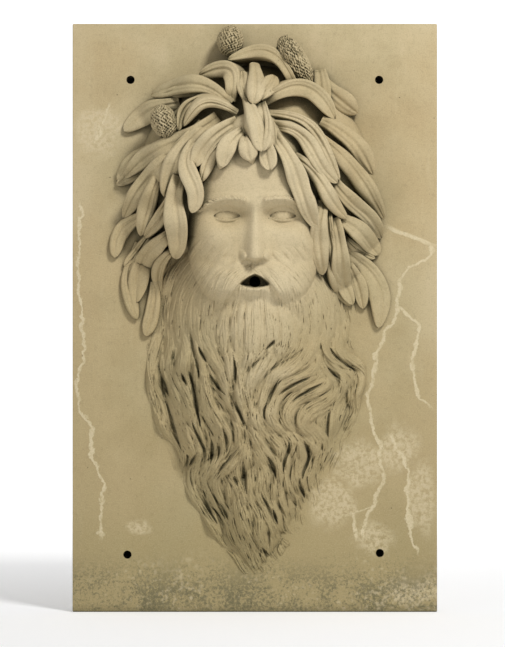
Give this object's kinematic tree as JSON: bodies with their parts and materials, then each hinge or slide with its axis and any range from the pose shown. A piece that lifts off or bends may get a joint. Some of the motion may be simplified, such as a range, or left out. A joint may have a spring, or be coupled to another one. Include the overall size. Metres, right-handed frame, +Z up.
{
  "type": "fountain mask",
  "caption": "Cast stone wall panel with a bearded head crowned with reed leaves and reed maces; water runs out of its open mouth.",
  "frame": {"origin": "middle of the slab's flat back face, where it lies against the wall", "axes": "+Z up along the slab's height, +Y into the wall, -Y the way the face looks, +X to the right as one looks at the face"},
  "size_m": [0.93, 0.2943, 1.5],
  "materials": {
    "cast_stone": "weathered buff composition stone with a green tint, pale lime runs and lichen along its foot"
  },
  "bodies": {
    "root": {"fountain_mask": "cast_stone"}
  },
  "joints": []
}
